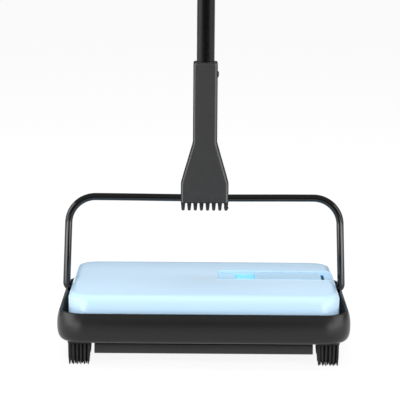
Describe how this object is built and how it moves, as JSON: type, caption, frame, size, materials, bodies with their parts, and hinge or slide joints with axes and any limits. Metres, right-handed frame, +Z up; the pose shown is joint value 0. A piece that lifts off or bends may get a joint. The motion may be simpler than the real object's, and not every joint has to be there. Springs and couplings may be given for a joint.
{
  "type": "carpet sweeper",
  "caption": "Push carpet sweeper: helical brush driven by its wheels, two drop-open dustpans with a lift lever, corner brushes, and an upright tube handle on a tilting wire bail.",
  "frame": {"origin": "on the floor, under the middle of the housing", "axes": "+X to the sweeper's right as seen from its front, +Y to its rear, +Z up along the standing handle"},
  "size_m": [0.306, 0.204, 1.08],
  "materials": {
    "cover_blue": "gloss moulded, pale sky blue",
    "bumper_black": "semi-gloss moulded black",
    "yoke_grey": "satin moulded dark grey",
    "grip_grey": "satin moulded near black",
    "pan_black": "satin moulded black",
    "wire_black": "gloss black enamel on steel wire",
    "tube_black": "semi-gloss black enamel on steel tube",
    "frame_grey": "satin moulded",
    "wheel_plastic": "satin moulded",
    "tyre_rubber": "matt ribbed rubber",
    "bristle_black": "nylon bristle",
    "steel": "bright zinc plated"
  },
  "bodies": {
    "base": {"base_housing": "bumper_black", "top_cover": "cover_blue", "lever_pin": "steel", "end_frame_left": "frame_grey", "end_frame_right": "frame_grey", "brush_bush_left": "steel", "brush_bush_right": "steel", "bail_bush_left": "frame_grey", "bail_bush_right": "frame_grey", "front_pan_rod": "steel", "rear_pan_rod": "steel", "front_pan_spring": "steel", "rear_pan_spring": "steel", "release_spring_left": "steel", "release_spring_right": "steel", "wheel_axle_front_left": "steel", "wheel_axle_rear_left": "steel", "wheel_axle_front_right": "steel", "wheel_axle_rear_right": "steel", "corner_brush_holder_front_left": "frame_grey", "corner_brush_holder_rear_left": "frame_grey", "corner_brush_holder_front_right": "frame_grey", "corner_brush_holder_rear_right": "frame_grey", "corner_bristles_front_left": "bristle_black", "corner_bristles_rear_left": "bristle_black", "corner_bristles_front_right": "bristle_black", "corner_bristles_rear_right": "bristle_black"},
    "handle": {"bail_wire": "wire_black", "yoke_front": "yoke_grey", "yoke_back": "yoke_grey", "yoke_screw_1": "steel", "yoke_screw_2": "steel", "button_spring": "steel", "lower_tube": "tube_black", "lower_coupler": "grip_grey", "middle_tube": "tube_black", "upper_coupler": "grip_grey", "upper_tube": "tube_black", "grip": "grip_grey", "hanging_loop": "grip_grey"},
    "button": {"snap_button": "yoke_grey"},
    "lever": {"release_lever": "cover_blue"},
    "release": {"release_frame": "frame_grey"},
    "front_pan": {"front_dustpan": "pan_black"},
    "rear_pan": {"rear_dustpan": "pan_black"},
    "brush": {"brush_core": "wheel_plastic", "brush_axle": "steel", "bristle_row_1": "bristle_black", "bristle_row_2": "bristle_black", "bristle_row_3": "bristle_black", "bristle_row_4": "bristle_black"},
    "wheel_front_left": {"wheel_hub_front_left": "wheel_plastic", "wheel_tyre_front_left": "tyre_rubber"},
    "wheel_rear_left": {"wheel_hub_rear_left": "wheel_plastic", "wheel_tyre_rear_left": "tyre_rubber"},
    "wheel_front_right": {"wheel_hub_front_right": "wheel_plastic", "wheel_tyre_front_right": "tyre_rubber"},
    "wheel_rear_right": {"wheel_hub_rear_right": "wheel_plastic", "wheel_tyre_rear_right": "tyre_rubber"}
  },
  "joints": [
    {"name": "handle_tilt", "type": "hinge", "parent": "base", "child": "handle", "pos_m": [0, 0, 0.064], "axis": [1, 0, 0], "range_deg": [-75, 75]},
    {"name": "button_press", "type": "slide", "parent": "handle", "child": "button", "axis": [-1, 0, 0], "range_m": [0, 0.0025], "stiffness_N_per_m": 300, "springref_m": -0.004, "deforming": ["button_spring"]},
    {"name": "front_pan_swing", "type": "hinge", "parent": "base", "child": "front_pan", "pos_m": [0, -0.08, 0.031], "axis": [-1, 0, 0], "range_deg": [0, 33], "stiffness_Nm_per_rad": 0.06, "springref_deg": -40.11},
    {"name": "rear_pan_swing", "type": "hinge", "parent": "base", "child": "rear_pan", "pos_m": [0, 0.08, 0.031], "axis": [1, 0, 0], "range_deg": [0, 33], "stiffness_Nm_per_rad": 0.06, "springref_deg": -40.11},
    {"name": "release_drop", "type": "slide", "parent": "base", "child": "release", "axis": [0, 0, -1], "range_m": [0, 0.008], "stiffness_N_per_m": 20, "springref_m": -0.012, "deforming": ["release_spring_left", "release_spring_right"]},
    {"name": "lever_lift", "type": "hinge", "parent": "base", "child": "lever", "pos_m": [0.117, 0.01, 0.0695], "axis": [0, 1, 0], "range_deg": [0, 40]},
    {"name": "brush_spin", "type": "hinge", "parent": "base", "child": "brush", "pos_m": [0, 0, 0.028], "axis": [1, 0, 0], "continuous": true},
    {"name": "wheel_spin_front_left", "type": "hinge", "parent": "base", "child": "wheel_front_left", "pos_m": [-0.1245, -0.03, 0.019], "axis": [1, 0, 0], "continuous": true},
    {"name": "wheel_spin_rear_left", "type": "hinge", "parent": "base", "child": "wheel_rear_left", "pos_m": [-0.1245, 0.03, 0.019], "axis": [1, 0, 0], "continuous": true},
    {"name": "wheel_spin_front_right", "type": "hinge", "parent": "base", "child": "wheel_front_right", "pos_m": [0.1245, -0.03, 0.019], "axis": [1, 0, 0], "continuous": true},
    {"name": "wheel_spin_rear_right", "type": "hinge", "parent": "base", "child": "wheel_rear_right", "pos_m": [0.1245, 0.03, 0.019], "axis": [1, 0, 0], "continuous": true}
  ],
  "couplings": [
    {"joint": "rear_pan_swing", "follows": "front_pan_swing", "ratio": 1},
    {"joint": "release_drop", "follows": "front_pan_swing", "m_per_rad": 0.013889},
    {"joint": "lever_lift", "follows": "front_pan_swing", "ratio": 1.2121},
    {"joint": "wheel_spin_front_left", "follows": "brush_spin", "ratio": -0.63158},
    {"joint": "wheel_spin_rear_left", "follows": "brush_spin", "ratio": -0.63158},
    {"joint": "wheel_spin_front_right", "follows": "brush_spin", "ratio": -0.63158},
    {"joint": "wheel_spin_rear_right", "follows": "brush_spin", "ratio": -0.63158}
  ]
}
